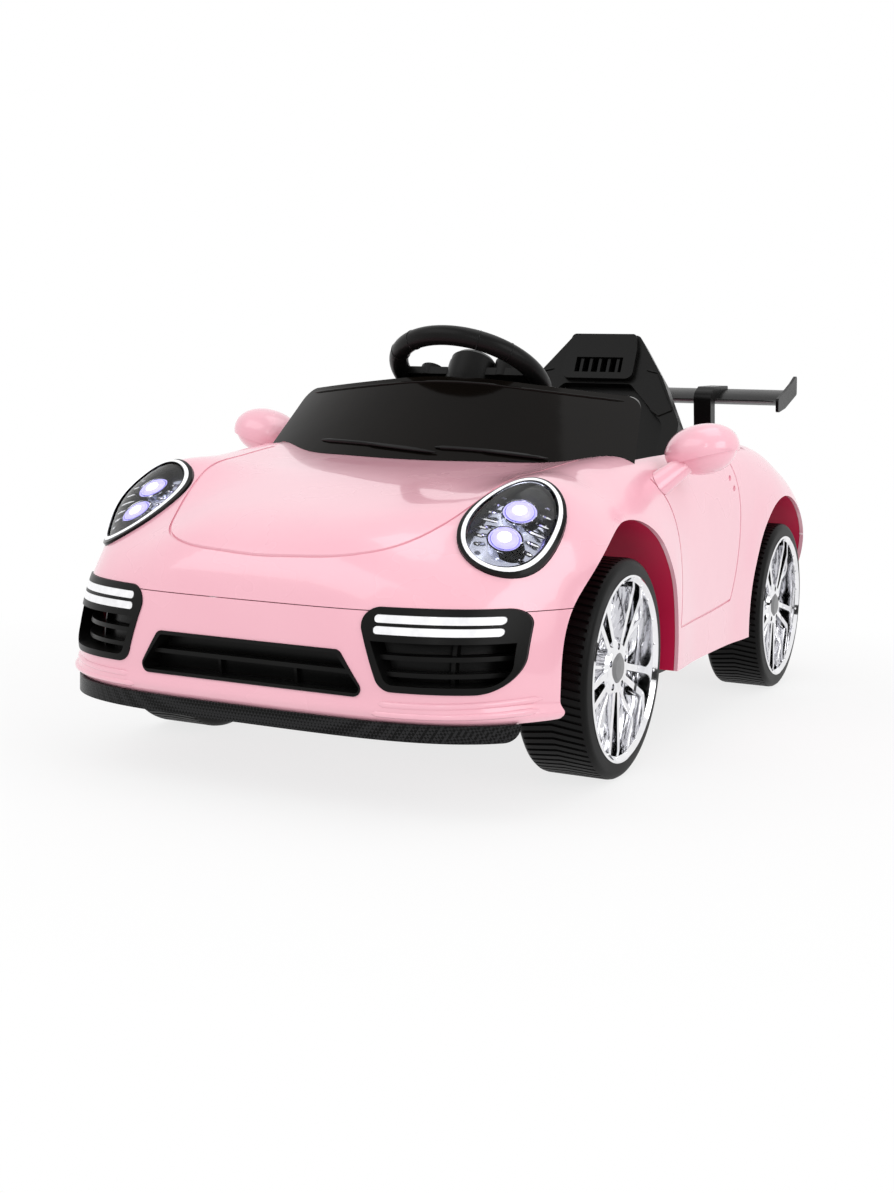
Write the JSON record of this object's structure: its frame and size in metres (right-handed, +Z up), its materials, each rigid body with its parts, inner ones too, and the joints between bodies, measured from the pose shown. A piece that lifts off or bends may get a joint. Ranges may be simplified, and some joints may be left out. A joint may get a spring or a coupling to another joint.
{
  "type": "electric ride on car",
  "caption": "Battery ride-on toy car for one child, with an open moulded body, steered front wheels, driven rear wheels, bucket seat, foot pedal and rear wing.",
  "frame": {"origin": "middle of the car's footprint on the ground, half way between the tip of the nose and the tail", "axes": "+X to the car's left, -Y the way it drives, +Z up"},
  "size_m": [0.612, 1.0297, 0.45],
  "materials": {
    "pink_gloss": "gloss moulded plastic",
    "pink_liner": "moulded plastic in shadow",
    "black_satin": "satin moulded plastic",
    "black_gloss": "gloss plastic",
    "smoked_plastic": "dark smoked gloss plastic",
    "clear_lens": "clear plastic",
    "lamp_silver": "bright metal film",
    "white_lens": "white translucent plastic",
    "red_lens": "red translucent plastic",
    "red_plastic": "gloss plastic",
    "mirror_film": "mirror film",
    "tyre_black": "ribbed hard plastic tread",
    "bright_chrome": "chrome film on plastic",
    "grey_plastic": "satin plastic",
    "steel": "plain steel"
  },
  "bodies": {
    "chassis": {"body_shell": "pink_gloss", "front_bumper": "pink_gloss", "rear_bumper": "pink_gloss", "mirror_housing_left": "pink_gloss", "mirror_housing_right": "pink_gloss", "wheel_well_liners": "pink_liner", "centre_grille": "black_satin", "side_intake_left": "black_satin", "side_intake_right": "black_satin", "dashboard": "black_satin", "seat": "black_satin", "wing_blade": "black_satin", "wing_end_plates": "black_satin", "wing_supports": "black_satin", "rear_diffuser": "black_satin", "chassis_tub": "black_satin", "charge_socket": "black_satin", "headlamp_bezel_left": "black_gloss", "headlamp_bezel_right": "black_gloss", "front_lip": "black_gloss", "windscreen": "smoked_plastic", "headlamp_lens_left": "clear_lens", "headlamp_lens_right": "clear_lens", "headlamp_reflector_left": "lamp_silver", "headlamp_reflector_right": "lamp_silver", "light_strips": "white_lens", "tail_lamps": "red_lens", "mirror_glasses": "mirror_film", "gearboxes": "grey_plastic", "control_box": "grey_plastic", "battery": "grey_plastic", "drive_motors": "grey_plastic", "front_axle_beam": "steel", "kingpins": "steel", "rear_axle": "steel", "rear_axle_nuts": "steel"},
    "steering": {"steering_column": "steel", "steering_wheel": "black_satin", "steering_hub_pad": "black_satin"},
    "horn": {"horn_button": "red_plastic"},
    "tie_rod": {"tie_rod": "steel"},
    "pedal": {"accelerator_pedal": "black_satin"},
    "start_button": {"start_button": "red_plastic"},
    "direction_switch": {"direction_switch": "black_satin"},
    "knuckle_left": {"knuckle_left": "steel", "front_axle_nut_left": "steel"},
    "knuckle_right": {"knuckle_right": "steel", "front_axle_nut_right": "steel"},
    "wheel_front_left": {"tyre_front_left": "tyre_black", "rim_front_left": "bright_chrome", "hub_cap_front_left": "grey_plastic"},
    "wheel_front_right": {"tyre_front_right": "tyre_black", "rim_front_right": "bright_chrome", "hub_cap_front_right": "grey_plastic"},
    "wheel_rear_left": {"tyre_rear_left": "tyre_black", "rim_rear_left": "bright_chrome", "hub_cap_rear_left": "grey_plastic"},
    "wheel_rear_right": {"tyre_rear_right": "tyre_black", "rim_rear_right": "bright_chrome", "hub_cap_rear_right": "grey_plastic"}
  },
  "joints": [
    {"name": "steering", "type": "hinge", "parent": "chassis", "child": "steering", "pos_m": [0, -0.086, 0.3798], "axis": [0, 0.515, 0.8572], "range_deg": [-36, 36]},
    {"name": "tie_rod", "type": "slide", "parent": "chassis", "child": "tie_rod", "axis": [1, 0, 0], "range_m": [-0.0183, 0.0183]},
    {"name": "knuckle_left", "type": "hinge", "parent": "chassis", "child": "knuckle_left", "pos_m": [0.15, -0.262, 0.105], "axis": [0, 0, 1], "range_deg": [-21, 21]},
    {"name": "knuckle_right", "type": "hinge", "parent": "chassis", "child": "knuckle_right", "pos_m": [-0.15, -0.262, 0.105], "axis": [0, 0, 1], "range_deg": [-21, 21]},
    {"name": "wheel_front_left", "type": "hinge", "parent": "knuckle_left", "child": "wheel_front_left", "pos_m": [0.223, -0.262, 0.105], "axis": [1, 0, 0], "continuous": true},
    {"name": "wheel_front_right", "type": "hinge", "parent": "knuckle_right", "child": "wheel_front_right", "pos_m": [-0.223, -0.262, 0.105], "axis": [1, 0, 0], "continuous": true},
    {"name": "wheel_rear_left", "type": "hinge", "parent": "chassis", "child": "wheel_rear_left", "pos_m": [0.223, 0.312, 0.105], "axis": [1, 0, 0], "continuous": true},
    {"name": "wheel_rear_right", "type": "hinge", "parent": "chassis", "child": "wheel_rear_right", "pos_m": [-0.223, 0.312, 0.105], "axis": [1, 0, 0], "continuous": true},
    {"name": "accelerator_pedal", "type": "hinge", "parent": "chassis", "child": "pedal", "pos_m": [-0.066, -0.094, 0.074], "axis": [1, 0, 0], "range_deg": [0, 12], "stiffness_Nm_per_rad": 0.8, "springref_deg": -8.59},
    {"name": "start_button", "type": "slide", "parent": "chassis", "child": "start_button", "axis": [0, -1, 0], "range_m": [0, 0.003], "stiffness_N_per_m": 300, "springref_m": -0.002},
    {"name": "horn_button", "type": "slide", "parent": "steering", "child": "horn", "axis": [0, -0.515, -0.8572], "range_m": [0, 0.002], "stiffness_N_per_m": 300, "springref_m": -0.002},
    {"name": "direction_switch", "type": "hinge", "parent": "chassis", "child": "direction_switch", "pos_m": [0.14, -0.118, 0.274], "axis": [1, 0, 0], "range_deg": [-14, 14]}
  ],
  "couplings": [
    {"joint": "tie_rod", "follows": "steering", "m_per_rad": -0.0288},
    {"joint": "knuckle_left", "follows": "steering", "ratio": 0.578},
    {"joint": "knuckle_right", "follows": "steering", "ratio": 0.578}
  ]
}
